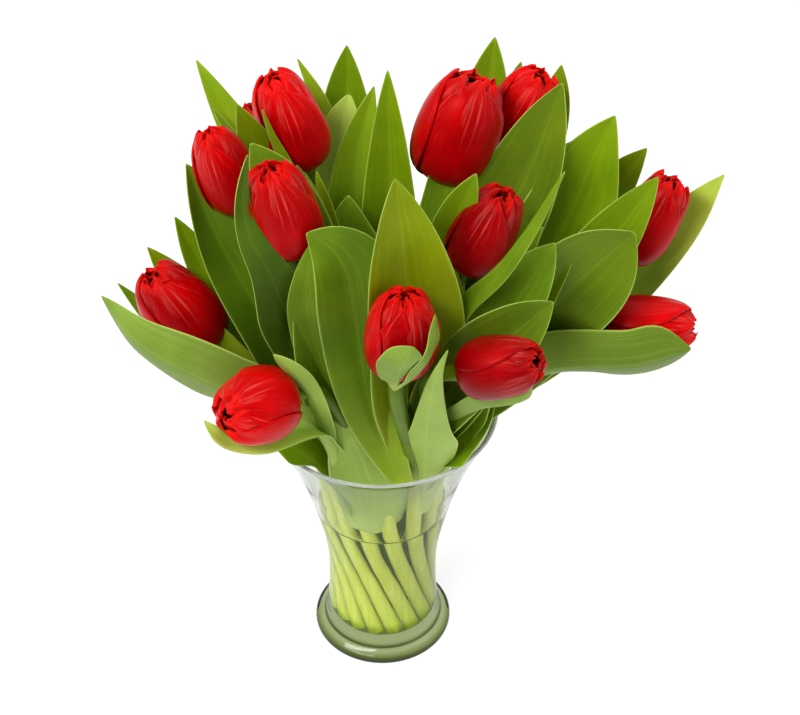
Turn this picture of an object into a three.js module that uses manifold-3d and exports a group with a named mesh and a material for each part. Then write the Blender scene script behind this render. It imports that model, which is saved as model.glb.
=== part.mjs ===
// A vase of cut tulips: a flared glass vase with water, fifteen red tulips standing in a
// twisted ring of stems, and their broad green leaves. Millimetres, +Z up, and the origin is
// the middle of the vase's foot on the table.
import * as THREE from 'three';
import { mergeVertices } from 'three/addons/utils/BufferGeometryUtils.js';
import Module from 'manifold-3d';

const wasm = await Module();
wasm.setup();

// ---- driving dimensions ---------------------------------------------------------------
const VASE_HEIGHT = 195;
const RIM_RADIUS = 75;
const WALL = 3;
const FOOT_RADIUS = 46.5;
const FOOT_EDGE = 4.3; // radius of the foot's rounded edge
const INNER_FLOOR = 15; // top of the thick glass base
const WELL = [[3, 1], [8, 0]]; // rounded corner of that floor: in from the wall, up from it
const WELL_TOP = 5; // height of the corner where it meets the wall
const WATER_LEVEL = 115;
const GAP = 0.4; // clearance between neighbouring pieces
const VASE_SIDES = 32;

const STEM_RADIUS = 5;
const STEM_SIDES = 8;
const STEM_LIFT = 3; // the cut ends rest just over the vase's floor
const STEM_STEPS = 10;
const RING_FOOT = 27; // radius of the ring that the cut ends of the stems stand in
const RING_WIDE = 32.5; // radius of the ring where the stems leave it
const RING_TOP = 100; // height where the stems leave the ring
const RING_TWIST = 50; // degrees that the ring of stems turns from its foot to its top
const RING_TURN = 44; // degrees that the ring's top is turned past the flowers
const NECK = 195; // height where each stem passes the rim
const NECK_RADIUS = 27.5; // how far from the middle a stem passes the rim, at the least,
const NECK_SPREAD = 0.22; // and how much farther for each millimetre its flower stands out
const NECK_WIDEST = 52;
const STRAIGHT_NECK = 18; // straight end of a stem below its flower

const LEAF_STEPS = 7;
const LEAF_THICK = 1.6;
const LEAF_EDGE = 0.9;
const LEAF_OPENS = 0.25; // how much of its fold a leaf has lost at its tip
const LEAF_BASE = 0.3; // a leaf's width at its base, as a part of its widest
const PRESS_GAP = 2.2; // between the glass and the middle of a leaf that lies against it
const RIM_SPILL = 2; // how much wider a leaf may lie for each millimetre above the rim
const PETAL_SIDES = 10;

const GLASS = new THREE.MeshStandardMaterial({ color: 0xdfe8e0, roughness: 0.04, metalness: 0 });
const WATER = new THREE.MeshStandardMaterial({ color: 0xd2dccb, roughness: 0.02, metalness: 0 });
const STEM = new THREE.MeshStandardMaterial({ color: 0x9bb45a, roughness: 0.5, metalness: 0 });
const PETAL = new THREE.MeshStandardMaterial({ color: 0xd4120f, roughness: 0.35, metalness: 0 });
const LEAF = new THREE.MeshStandardMaterial({ color: 0x5f9130, roughness: 0.45, metalness: 0 });

// ---- the flowers, in order round the vase, counter-clockwise from above -----------------
// base and tip are the two ends of the closed head, and radius is its widest; neck: where its
// stem passes the rim, if it leaves the others
const FLOWERS = [
  { name: 'right_high', base: [148, 0, 312], tip: [173, 5, 369], radius: 17 },
  { name: 'back_tall', base: [35, 25, 353], tip: [58, 38, 419], radius: 24.5 },
  { name: 'back_right', base: [71, 62, 347], tip: [98, 62, 405], radius: 20 },
  { name: 'rear_right', base: [46, 96, 262], tip: [70, 124, 306], radius: 20 },
  { name: 'rear_left', base: [-34, 92, 262], tip: [-58, 118, 308], radius: 20 },
  { name: 'back_left', base: [-56, 66, 328], tip: [-79, 66, 380], radius: 15 },
  { name: 'top_left', base: [-44, 28, 360], tip: [-62, 30, 424], radius: 20 },
  { name: 'left_high', base: [-81, -5, 353], tip: [-97, -5, 408], radius: 17 },
  { name: 'left_low', base: [-103, -30, 270], tip: [-135, -28, 325], radius: 22 },
  { name: 'left_middle', base: [-47, -50, 355], tip: [-60, -52, 416], radius: 20 },
  { name: 'front_left', base: [-52, -96, 286], tip: [-87, -128, 300], radius: 21.5 },
  {
    name: 'front_middle', base: [11, -92, 304], tip: [15, -98, 363], radius: 20.5,
    neck: [21, -53, 187],
  },
  { name: 'front_right', base: [46, -96, 305], tip: [91, -112, 327], radius: 18 },
  { name: 'middle_right', base: [49, -40, 336], tip: [72, -42, 392], radius: 18 },
  { name: 'right_low', base: [131, -40, 293], tip: [187, -46, 297], radius: 18 },
];

// ---- the leaves ---------------------------------------------------------------------------
// midrib: points up the middle of the leaf; width: its widest; facing: azimuth and elevation
// that its inner side looks to; fold: angle that each half rises from the midrib; belly: where
// along the leaf it is widest; point: how long the tip stays broad; base: its width at the base,
// where that isn't LEAF_BASE; left: its left half, as a part of the right one
const LEAVES = [
  {
    name: 'low_left_outer', width: 46, facing: [95, 12], fold: 30, belly: 0.55, point: 2.2,
    midrib: [[-28, -30, 180], [-48, -62, 238], [-94, -84, 285], [-136, -78, 310], [-160, -55, 327]],
  },
  {
    name: 'behind_left_low', width: 38, facing: [300, 40], fold: 20, belly: 0.5, point: 2,
    midrib: [[-41, -10, 176], [-91, -22, 259], [-119, -8, 295], [-139, 0, 321]],
  },
  {
    name: 'left_broad', width: 58, facing: [300, 18], fold: 28, belly: 0.5, point: 2.3, left: 0.7,
    midrib: [[-41, -7, 176], [-67, -26, 278], [-96, -16, 342], [-112, -6, 386]],
  },
  {
    name: 'left_middle', width: 54, facing: [285, 14], fold: 26, belly: 0.58, point: 3.2,
    midrib: [[-25, -20, 160], [-38, -34, 285], [-51, -22, 346], [-61, -16, 383], [-73, -12, 404]],
  },
  {
    name: 'back_left_tall', width: 36, facing: [282, 10], fold: 25, belly: 0.5, point: 1.8,
    midrib: [[-30, 30, 176], [-63, 62, 311], [-92, 70, 368], [-110, 76, 403]],
  },
  {
    name: 'back_middle', width: 46, facing: [262, 10], fold: 35, belly: 0.58, point: 2.8,
    midrib: [[-7, 31, 160], [-16, 76, 301], [-20, 88, 360], [-20, 102, 399]],
  },
  {
    name: 'middle_back_left', width: 46, facing: [275, 10], fold: 20, belly: 0.5, point: 1.9,
    midrib: [[-13, 29, 160], [-14, 30, 304], [-13, 38, 365], [-3, 48, 402]],
  },
  {
    name: 'middle_back', width: 44, facing: [262, 10], fold: 35, belly: 0.5, point: 1.7,
    midrib: [[18, 38, 176], [8, 18, 313], [6, 24, 378], [5, 36, 422]],
  },
  {
    name: 'front_folded', width: 60, facing: [288, 14], fold: 22, belly: 0.62, point: 4, left: 0.8,
    midrib: [
      [13, -63, 186], [2, -63, 216], [-8, -64, 264], [-14, -67, 319],
      [-19, -69, 357], [-27, -71, 374], [-39, -73, 384],
    ],
  },
  {
    name: 'front_centre', width: 64, facing: [288, 12], fold: 28, belly: 0.5, point: 2.6,
    midrib: [[12, -40, 176], [18, -62, 293], [14, -72, 366], [10, -72, 419]],
  },
  {
    name: 'middle_inner', width: 40, facing: [262, 10], fold: 25, belly: 0.5, point: 1.8,
    midrib: [[32, 4, 160], [34, 4, 301], [40, 14, 360], [42, 28, 406]],
  },
  {
    name: 'right_tall', width: 60, facing: [244, 10], fold: 32, belly: 0.58, point: 2.6,
    midrib: [[32, 3, 160], [60, 6, 299], [88, 16, 365], [106, 30, 417]],
  },
  {
    name: 'back_right_tall', width: 46, facing: [258, 10], fold: 35, belly: 0.58, point: 2.8,
    midrib: [[26, 33, 176], [60, 72, 327], [65, 84, 370], [69, 96, 407]],
  },
  {
    name: 'right_broad', width: 64, facing: [255, 14], fold: 30, belly: 0.58, point: 2.8,
    midrib: [[32, 0, 160], [91, 4, 288], [116, 12, 347], [126, 16, 379], [136, 19, 401]],
  },
  {
    name: 'right_bud', width: 40, facing: [245, 20], fold: 25, belly: 0.6, point: 2.8,
    midrib: [[41, -9, 176], [115, -26, 312], [141, -26, 358], [158, -22, 387]],
  },
  {
    name: 'far_right', width: 50, facing: [225, 45], fold: 30, belly: 0.55, point: 2.2,
    midrib: [[32, 3, 160], [150, 12, 279], [183, 16, 323], [207, 26, 354]],
  },
  {
    name: 'right_front_broad', width: 60, facing: [262, 20], fold: 22, belly: 0.7, point: 3.6,
    midrib: [[35, -16, 176], [85, -38, 282], [116, -48, 335], [144, -50, 369]],
  },
  {
    name: 'right_blue', width: 44, facing: [245, 25], fold: 25, belly: 0.62, point: 3,
    midrib: [[30, -29, 176], [64, -62, 300], [84, -62, 341], [100, -52, 363]],
  },
  {
    name: 'front_right_high', width: 44, facing: [262, 38], fold: 25, belly: 0.65, point: 3,
    midrib: [[24, -34, 185], [36, -66, 254], [55, -80, 297], [78, -90, 331], [97, -90, 351]],
  },
  {
    name: 'front_right_cup', width: 22, facing: [95, 30], fold: 35, belly: 0.6, point: 3,
    midrib: [
      [41, -58, 218], [48, -82, 258], [59, -102, 283],
      [71, -112, 294], [80, -116, 301], [85, -116, 312],
    ],
  },
  {
    name: 'low_right_outer', width: 48, facing: [90, 12], fold: 35, belly: 0.72, point: 8,
    midrib: [
      [34, -24, 180], [72, -46, 246], [97, -60, 275],
      [122, -68, 285], [150, -70, 288], [180, -66, 298],
    ],
  },
  {
    name: 'front_pale', width: 28, facing: [85, -10], fold: 22, belly: 0.46, point: 0.62, left: 1.45,
    midrib: [
      [27, -44, 137], [27, -62, 196], [27, -80, 234], [28, -96, 272],
      [30, -108, 302], [33, -118, 326], [38, -122, 344],
    ],
  },
  {
    name: 'rim_front', width: 52, facing: [95, -5], fold: 14, belly: 0.4, point: 1.7, base: 0.75,
    midrib: [[-4, -41, 122], [-4, -55, 171], [-10, -62, 202], [-17, -69, 232], [-25, -71, 256]],
  },
  {
    name: 'front_left_cup', width: 28, facing: [280, 68], fold: 24, belly: 0.5, point: 2.2,
    midrib: [
      [-22, -48, 191], [-34, -70, 236], [-48, -93, 260],
      [-70, -112, 267], [-88, -125, 279], [-98, -127, 296],
    ],
  },
  {
    name: 'rear_middle', width: 52, facing: [270, 20], fold: 25, belly: 0.5, point: 1.9,
    midrib: [[2, 40, 168], [0, 72, 250], [-4, 92, 310], [-6, 104, 352]],
  },
  {
    name: 'rear_left', width: 44, facing: [315, 30], fold: 25, belly: 0.5, point: 1.9,
    midrib: [[-28, 34, 170], [-62, 76, 240], [-92, 96, 290], [-120, 104, 322]],
  },
  {
    name: 'rear_right', width: 44, facing: [225, 30], fold: 25, belly: 0.5, point: 1.9,
    midrib: [[30, 34, 170], [66, 74, 240], [98, 96, 292], [126, 108, 328]],
  },
  {
    name: 'rear_low', width: 40, facing: [270, 60], fold: 25, belly: 0.5, point: 1.8,
    midrib: [[6, 44, 178], [6, 92, 225], [4, 128, 252], [2, 150, 262]],
  },
];

// ---- solids -------------------------------------------------------------------------------
const vec = (p) => new THREE.Vector3(...p);
const radians = THREE.MathUtils.degToRad;

function solid(geometry) {
  let bare = geometry.clone();
  bare.deleteAttribute('normal');
  bare.deleteAttribute('uv');
  bare = mergeVertices(bare, 1e-4);
  const triVerts = Uint32Array.from(bare.index.array);
  const vertProperties = Float32Array.from(bare.attributes.position.array);
  return new wasm.Manifold(new wasm.Mesh({ numProp: 3, vertProperties, triVerts }));
}

function geometryOf(body) {
  const mesh = body.getMesh();
  const geometry = new THREE.BufferGeometry();
  geometry.setAttribute('position', new THREE.BufferAttribute(mesh.vertProperties.slice(), 3));
  geometry.setIndex(new THREE.BufferAttribute(mesh.triVerts.slice(), 1));
  geometry.computeVertexNormals();
  return geometry;
}

const touches = (a, b) => ['0', '1', '2'].every(
  (k) => a.boundingBox().min[k] <= b.boundingBox().max[k]
    && b.boundingBox().min[k] <= a.boundingBox().max[k],
);

// what is left of a body once room is made for its neighbours, as one piece
function makeRoom(body, neighbours) {
  let rest = body;
  for (const neighbour of neighbours.filter((n) => touches(n, rest))) {
    rest = rest.subtract(neighbour);
  }
  return rest.decompose().sort((a, b) => b.volume() - a.volume())[0];
}

// ---- vase and water -----------------------------------------------------------------------
// radius of the outer wall at the heights where the outline turns
const OUTLINE = [[38, 15], [36.3, 45], [37.3, 75], [43, 105], [50.6, 135], [61.1, 165]];

function wallCurve(inset, from, to, points) {
  const curve = new THREE.SplineCurve(
    [...OUTLINE, [RIM_RADIUS, VASE_HEIGHT]].map(([r, z]) => new THREE.Vector2(r - inset, z)),
  );
  return curve.getPoints(60)
    .filter((p) => p.y >= from && p.y <= to)
    .filter((p, i, all) => i % Math.ceil(all.length / points) === 0 || i === all.length - 1);
}

function vaseGeometry() {
  const foot = [];
  for (let i = 0; i <= 4; i += 1) {
    const a = radians(-90 + 45 * i);
    foot.push(new THREE.Vector2(
      FOOT_RADIUS - FOOT_EDGE + FOOT_EDGE * Math.cos(a),
      FOOT_EDGE + FOOT_EDGE * Math.sin(a),
    ));
  }
  const outer = wallCurve(0, INNER_FLOOR, VASE_HEIGHT, 9);
  const inner = wallCurve(WALL, INNER_FLOOR + WELL_TOP, VASE_HEIGHT, 8).reverse();
  const well = [
    ...WELL.map(([r, z]) => new THREE.Vector2(inner.at(-1).x - r, INNER_FLOOR + z)),
    new THREE.Vector2(0, INNER_FLOOR),
  ];
  return new THREE.LatheGeometry(
    [new THREE.Vector2(0, 0), ...foot, ...outer, ...inner, ...well],
    VASE_SIDES,
  ).rotateX(Math.PI / 2);
}

function waterGeometry() {
  const side = wallCurve(WALL + GAP, INNER_FLOOR + WELL_TOP, WATER_LEVEL, 5);
  side.at(-1).y = WATER_LEVEL;
  const profile = [
    new THREE.Vector2(0, INNER_FLOOR + GAP),
    ...WELL.toReversed().map(([r, z]) => new THREE.Vector2(
      side[0].x - r,
      INNER_FLOOR + GAP + z,
    )),
    ...side,
    new THREE.Vector2(0, WATER_LEVEL),
  ];
  return new THREE.LatheGeometry(profile, VASE_SIDES).rotateX(Math.PI / 2);
}

// ---- stems and flower heads ---------------------------------------------------------------
const polar = (radius, azimuth, z) => new THREE.Vector3(
  radius * Math.cos(radians(azimuth)),
  radius * Math.sin(radians(azimuth)),
  z,
);

function stemCurve({ base, tip, neck }, slot) {
  const head = vec(base);
  const axis = vec(tip).sub(head).normalize();
  const top = (360 / FLOWERS.length) * slot + RING_TURN;
  const spread = Math.hypot(head.x, head.y);
  const headAzimuth = THREE.MathUtils.radToDeg(Math.atan2(head.y, head.x));
  const turn = ((headAzimuth - top + 540) % 360) - 180;
  const neckRadius = Math.min(NECK_RADIUS + NECK_SPREAD * spread, NECK_WIDEST);
  const foot = polar(RING_FOOT, top + RING_TWIST, INNER_FLOOR + STEM_LIFT);
  const leave = polar(RING_WIDE, top, RING_TOP);
  return new THREE.CatmullRomCurve3([
    foot,
    foot.clone().lerp(leave, 0.5),
    leave,
    neck ? vec(neck) : polar(neckRadius, top + turn / 2, NECK),
    head.clone().addScaledVector(axis, -STRAIGHT_NECK),
    head.clone().addScaledVector(axis, -GAP),
  ]);
}

function stemGeometry(curve, radius) {
  const section = new THREE.Shape();
  for (let i = 0; i < STEM_SIDES; i += 1) {
    const a = (2 * Math.PI * i) / STEM_SIDES;
    section[i ? 'lineTo' : 'moveTo'](radius * Math.cos(a), radius * Math.sin(a));
  }
  return new THREE.ExtrudeGeometry(section, {
    steps: STEM_STEPS, extrudePath: curve, bevelEnabled: false,
  });
}

// a closed tulip head: round at the base, widest below the middle, blunt at the mouth
function headGeometry({ base, tip, radius }, grow) {
  const foot = vec(base);
  const axis = vec(tip).sub(foot);
  const length = axis.length();
  const profile = [
    [0.16, 0], [0.6, 0.04], [0.9, 0.18], [1, 0.4], [0.95, 0.66], [0.8, 0.84], [0.47, 0.98],
  ].map(([r, z]) => new THREE.Vector2(r * radius + grow, z * length));
  profile[0].y -= grow;
  const closed = [
    new THREE.Vector2(0, -grow), ...profile, new THREE.Vector2(0, length + grow),
  ];
  const geometry = new THREE.LatheGeometry(closed, PETAL_SIDES);
  geometry.rotateX(Math.PI / 2);
  const turn = new THREE.Quaternion().setFromUnitVectors(
    new THREE.Vector3(0, 0, 1),
    axis.normalize(),
  );
  return geometry.applyQuaternion(turn).translate(foot.x, foot.y, foot.z);
}

// ---- leaves -------------------------------------------------------------------------------
// half the leaf's width at t, as a part of its widest: narrow at the base, pointed at the tip
function halfWidth(t, belly, point, base) {
  const rise = base + (1 - base) * Math.sin((Math.PI / 2) * Math.min(t / belly, 1)) ** 1.3;
  const fall = (1 - Math.max((t - belly) / (1 - belly), 0) ** point) ** 0.9;
  return 0.5 * rise * fall;
}

// a leaf spreads no wider than the inside of the vase, up to the rim
function pressIn(spot) {
  const outline = [...OUTLINE, [RIM_RADIUS, VASE_HEIGHT]];
  const above = outline.findIndex(([, z]) => z > spot.z);
  const [ra, za] = outline[Math.max(above, 1) - 1];
  const [rb, zb] = outline[Math.max(above, 1)];
  const spill = RIM_SPILL * Math.max(spot.z - VASE_HEIGHT - PRESS_GAP, 0);
  const wall = above < 0 ? RIM_RADIUS + spill : ra + ((rb - ra) * (spot.z - za)) / (zb - za);
  const share = Math.min((wall - WALL - PRESS_GAP) / Math.hypot(spot.x, spot.y), 1);
  return spot.set(spot.x * share, spot.y * share, spot.z);
}

function leafGeometry(leaf, grow) {
  const curve = new THREE.CatmullRomCurve3(leaf.midrib.map(vec));
  const [azimuth, elevation] = leaf.facing.map(radians);
  const face = new THREE.Vector3(
    Math.cos(azimuth) * Math.cos(elevation),
    Math.sin(azimuth) * Math.cos(elevation),
    Math.sin(elevation),
  );
  const thick = LEAF_THICK / 2 + grow;
  const edge = LEAF_EDGE / 2 + grow;
  const points = [];
  for (let i = 0; i <= LEAF_STEPS; i += 1) {
    const t = i / LEAF_STEPS;
    const middle = curve.getPointAt(t);
    const along = curve.getTangentAt(t);
    const normal = face.clone().addScaledVector(along, -face.dot(along)).normalize();
    const side = new THREE.Vector3().crossVectors(along, normal);
    const base = leaf.base ?? LEAF_BASE;
    const half = leaf.width * halfWidth(t, leaf.belly, leaf.point, base) + edge;
    const left = half * (leaf.left ?? 1);
    const rise = radians(leaf.fold * (1 - LEAF_OPENS * t));
    const place = (reach, lift) => points.push(pressIn(middle.clone()
      .addScaledVector(side, reach * Math.cos(rise))
      .addScaledVector(normal, Math.abs(reach) * Math.sin(rise)))
      .addScaledVector(normal, lift));
    place(-left, edge);
    place(0, thick);
    place(half, edge);
    place(half, -edge);
    place(0, -thick);
    place(-left, -edge);
  }
  return loft(points, 6);
}

// a closed skin over rings of points, the first and the last of them capped
function loft(points, ring) {
  const index = [];
  const rings = points.length / ring;
  for (let i = 0; i < rings - 1; i += 1) {
    for (let j = 0; j < ring; j += 1) {
      const a = i * ring + j;
      const b = i * ring + ((j + 1) % ring);
      index.push(a, b, a + ring, b, b + ring, a + ring);
    }
  }
  const last = (rings - 1) * ring;
  for (const [a, b, c] of [[0, 5, 1], [1, 5, 4], [1, 4, 2], [2, 4, 3]]) {
    index.push(a, b, c, last + a, last + c, last + b);
  }
  const geometry = new THREE.BufferGeometry();
  geometry.setAttribute('position', new THREE.Float32BufferAttribute(
    points.flatMap((p) => p.toArray()), 3,
  ));
  geometry.setIndex(index);
  return geometry;
}

// ---- the arrangement ----------------------------------------------------------------------
const arrangement = new THREE.Group();

function addPiece(name, geometry, material) {
  const mesh = new THREE.Mesh(geometry, material);
  mesh.name = name;
  arrangement.add(mesh);
}

addPiece('vase', vaseGeometry(), GLASS);
const taken = [];
FLOWERS.forEach((flower, slot) => {
  const curve = stemCurve(flower, slot);
  addPiece(`stem_${flower.name}`, stemGeometry(curve, STEM_RADIUS), STEM);
  addPiece(`tulip_${flower.name}`, headGeometry(flower, 0), PETAL);
  taken.push(solid(stemGeometry(curve, STEM_RADIUS + GAP)));
  taken.push(solid(headGeometry(flower, GAP)));
});

addPiece('water', geometryOf(makeRoom(solid(waterGeometry()), taken)), WATER);

for (const leaf of LEAVES) {
  const blade = makeRoom(solid(leafGeometry(leaf, 0)), taken);
  addPiece(`leaf_${leaf.name}`, geometryOf(blade), LEAF);
  taken.push(solid(leafGeometry(leaf, GAP)));
}

export default arrangement;
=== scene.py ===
# The looks of a vase of red tulips: a blown glass vase with water in it, fifteen tulips on
# twisted stems, and their leaves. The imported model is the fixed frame; the measures below are
# in millimetres and are turned into metres where a mesh is made.
import math
import random
from collections import namedtuple

import bpy
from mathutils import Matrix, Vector


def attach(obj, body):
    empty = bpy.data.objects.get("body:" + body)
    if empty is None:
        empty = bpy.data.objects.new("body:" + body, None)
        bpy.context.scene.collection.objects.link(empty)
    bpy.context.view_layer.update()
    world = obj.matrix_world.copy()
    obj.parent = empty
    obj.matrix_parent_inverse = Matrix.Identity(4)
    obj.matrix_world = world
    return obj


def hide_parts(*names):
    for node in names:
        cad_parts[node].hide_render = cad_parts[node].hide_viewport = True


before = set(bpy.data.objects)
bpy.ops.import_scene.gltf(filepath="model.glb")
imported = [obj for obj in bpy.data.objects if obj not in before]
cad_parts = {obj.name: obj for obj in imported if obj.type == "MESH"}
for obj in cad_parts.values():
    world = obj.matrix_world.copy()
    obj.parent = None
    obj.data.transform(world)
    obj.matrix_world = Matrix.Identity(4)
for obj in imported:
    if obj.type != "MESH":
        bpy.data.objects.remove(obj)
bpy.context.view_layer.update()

MM = 0.001
UP = Vector((0, 0, 1))
WHOLE_TURN = 6.3  # for a random start on a wave, in radians
TOUCHING = 1e-6  # closer than this, in metres, is the same place

# ---- camera -------------------------------------------------------------------------------
CAMERA_LENS = 90
CAMERA_PITCH = 40
CAMERA_DISTANCE = 1.246
CAMERA_AIM = Vector((0.0119, 0, 0.235))
SENSOR_WIDTH = 36
NEAREST_SEEN = 0.05


def add_camera():
    pitch = math.radians(CAMERA_PITCH)
    place = CAMERA_AIM + CAMERA_DISTANCE * Vector((0, -math.cos(pitch), math.sin(pitch)))
    bpy.ops.object.camera_add(location=place, rotation=(math.pi / 2 - pitch, 0, 0))
    camera = bpy.context.object
    camera.name = "camera"
    camera.data.lens = CAMERA_LENS
    camera.data.sensor_width = SENSOR_WIDTH
    camera.data.clip_start = NEAREST_SEEN
    bpy.context.scene.camera = camera


# ---- the vase -----------------------------------------------------------------------------
VASE_HEIGHT = 195
RIM_RADIUS = 75
WALL = 3
LIP_INSET = 0.3  # how far the middle of the rounded lip is in from the wall's
LIP_LEVEL = VASE_HEIGHT - WALL / 2  # where the wall ends and the lip begins
FOOT_RADIUS = 46.5
FOOT_EDGE = 4.3  # radius of the foot's round edge
FOOT_NECK = [(41.2, 9.6), (39.3, 12)]  # the hollow between the foot and the wall
INNER_FLOOR = 15
INNER_CORNER = 7  # radius of the corner between the inner floor and the wall
THICK_GLASS_TOP = INNER_FLOOR + 1  # faces lower than this are the thick foot's
UNDERSIDE_TOP = 0.1
WATER_LEVEL = 115
MENISCUS = [(0.6, 1.1), (1.4, 1.7), (2.6, 2.1), (4.5, 2.3)]  # inward from the glass, and down
WATER_CREEP = 0.25  # how far the water's side stands into the glass, so that no air is between
OUTLINE = [  # radius and height up the outside of the wall
    (38, 15), (36.3, 45), (37.3, 75), (43, 105), (50.6, 135), (61.1, 165),
    (RIM_RADIUS, VASE_HEIGHT),
]
SPIN_STEPS = 120
GLASS_CREASE = 40  # an edge of the glass that bends more than this stays sharp, in degrees

# ---- the stems ----------------------------------------------------------------------------
STEM_RADIUS = 5
STEM_UNEVEN = 0.04  # how much its thickness varies, as a part of it
STEM_FOOT_SWELL = 1.03
STEM_LIFT = 3  # from the inner floor to the middle of a cut end
RING_FOOT = 27  # radius of the ring that the cut ends stand in
RING_WIDE = 32.5  # its radius at the height RING_TOP
RING_TOP = 100
RING_TWIST = 50  # how far a stem winds round below RING_TOP, in degrees
RING_TURN = 44  # where the first stem is at RING_TOP, in degrees
NECK = 195  # the height at which a stem passes the rim
NECK_RADIUS = 27.5  # how far out it passes, under a flower in the middle
NECK_SPREAD = 0.22  # how much further out for each mm that its flower is out
NECK_WIDEST = 52
STRAIGHT_NECK = 18  # the straight length under a head
GAP = 0.4  # between a stem's end and its head
STEM_CREASE = 50
STEM_SEED = 200

# ---- the flowers, in order round the vase, counter-clockwise from above --------------------
# base and tip: the two ends of the head; radius: its widest; opened: how far it has opened;
# turn: where its first petal is, in degrees; shade: a lighter or darker red than the usual one,
# painted light and shade for a head that should look more lit or more shaded; neck: where its
# stem passes the rim, where the ring doesn't say
Flower = namedtuple("Flower", "name base tip radius opened turn shade neck", defaults=("red", None))
FLOWERS = [
    Flower("right_high", (148, 0, 312), (173, 5, 369), 17, 0.3, 0),
    Flower("back_tall", (35, 25, 353), (58, 38, 419), 24.5, 0.2, 37),
    Flower("back_right", (71, 62, 347), (98, 62, 405), 20, 0.2, 14, shade="bright"),
    Flower("rear_right", (46, 96, 262), (70, 124, 306), 20, 0.2, 51),
    Flower("rear_left", (-34, 92, 262), (-58, 118, 308), 20, 0.2, 28),
    Flower("back_left", (-56, 66, 328), (-79, 66, 380), 15, 0, 5),
    Flower("top_left", (-44, 28, 360), (-62, 30, 424), 20, 0.1, 42, shade="bright"),
    Flower("left_high", (-81, -5, 353), (-97, -5, 408), 17, 0, 19),
    Flower("left_low", (-103, -30, 270), (-135, -28, 325), 22, 0.15, 56),
    Flower("left_middle", (-47, -50, 355), (-60, -52, 416), 20, 0.1, 33),
    Flower("front_left", (-52, -96, 286), (-87, -128, 300), 21.5, 0.1, 10, shade="bright"),
    Flower("front_middle", (11, -92, 304), (15, -98, 363), 20.5, 0.05, 47, neck=(21, -53, 187)),
    Flower("front_right", (46, -96, 305), (91, -112, 327), 18, 0.15, 24, shade="deep"),
    Flower("middle_right", (49, -40, 336), (72, -42, 392), 18, 0.15, 1, shade="deep"),
    Flower("right_low", (131, -40, 293), (187, -46, 297), 18, 0.25, 38, shade="bright"),
]
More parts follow.
